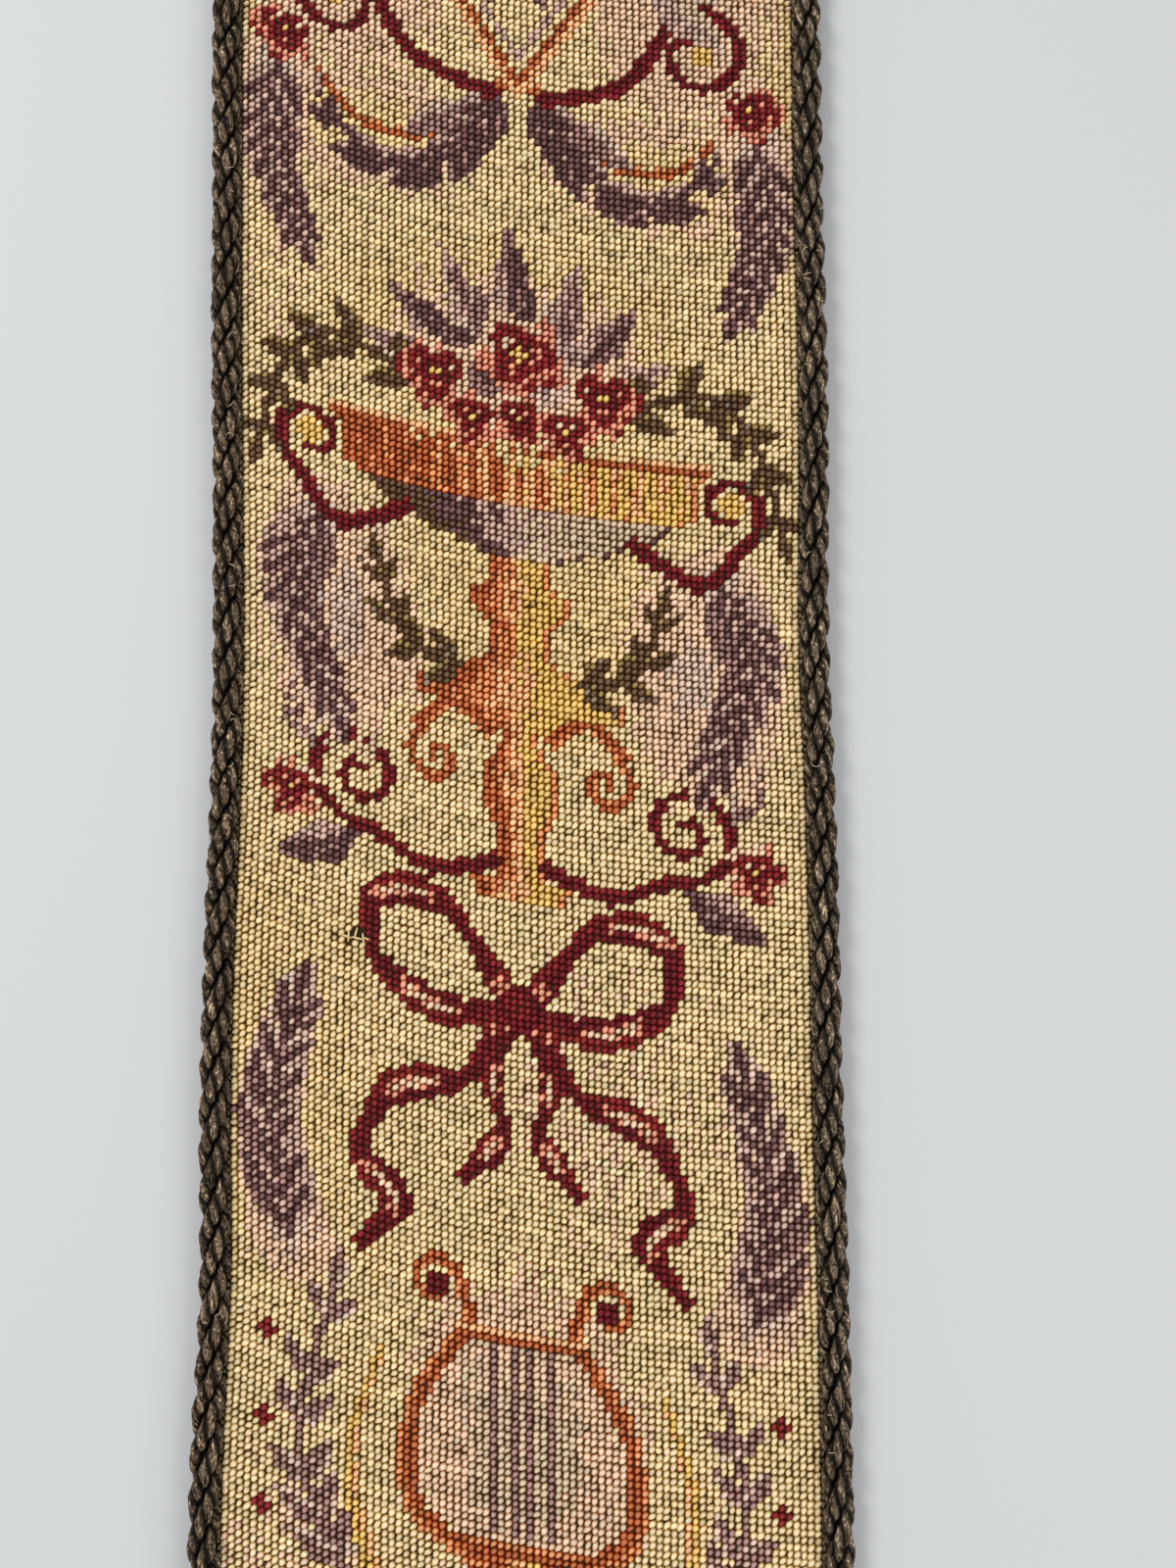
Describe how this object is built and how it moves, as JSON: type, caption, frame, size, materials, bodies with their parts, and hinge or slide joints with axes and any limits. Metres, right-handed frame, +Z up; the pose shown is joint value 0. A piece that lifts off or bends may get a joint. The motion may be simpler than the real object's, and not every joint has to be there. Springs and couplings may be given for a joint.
{
  "type": "needlepoint bell pull",
  "caption": "Long narrow strip of worked wool needlepoint lying flat, with a dark twisted cord sewn along both long sides.",
  "frame": {"origin": "middle of the strip, on the surface that it lies on", "axes": "+Y along the strip towards its top end, +X to its right side, +Z up through the worked face"},
  "size_m": [0.1718, 0.993, 0.0084],
  "materials": {
    "worked_wool": "matt wool tent stitch in cream, burgundy, rust and mauve",
    "cord_yarn": "dark brown twisted cord with a soft sheen"
  },
  "bodies": {
    "root": {"needlepoint_panel": "worked_wool", "left_cord": "cord_yarn", "right_cord": "cord_yarn"}
  },
  "joints": []
}
